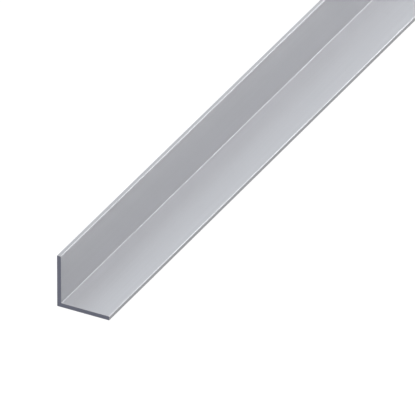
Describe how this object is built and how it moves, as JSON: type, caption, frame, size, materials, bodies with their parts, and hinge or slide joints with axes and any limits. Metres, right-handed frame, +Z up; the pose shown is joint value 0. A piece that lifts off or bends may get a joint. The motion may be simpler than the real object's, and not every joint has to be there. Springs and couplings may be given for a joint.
{
  "type": "aluminium angle profile",
  "caption": "Straight L-section bar of extruded aluminium with equal legs, sawn square at the ends, for frames, brackets, trim and edge protection.",
  "frame": {"origin": "on the surface that the bar lies on, under the middle of its outer box", "axes": "+X across the flat leg from the heel to the toe, +Y along the bar, +Z up the upright leg"},
  "size_m": [0.025, 1, 0.025],
  "materials": {
    "anodised_aluminium": "satin, clear anodised, with faint lines along the bar from the die"
  },
  "bodies": {
    "root": {"angle_bar": "anodised_aluminium"}
  },
  "joints": []
}
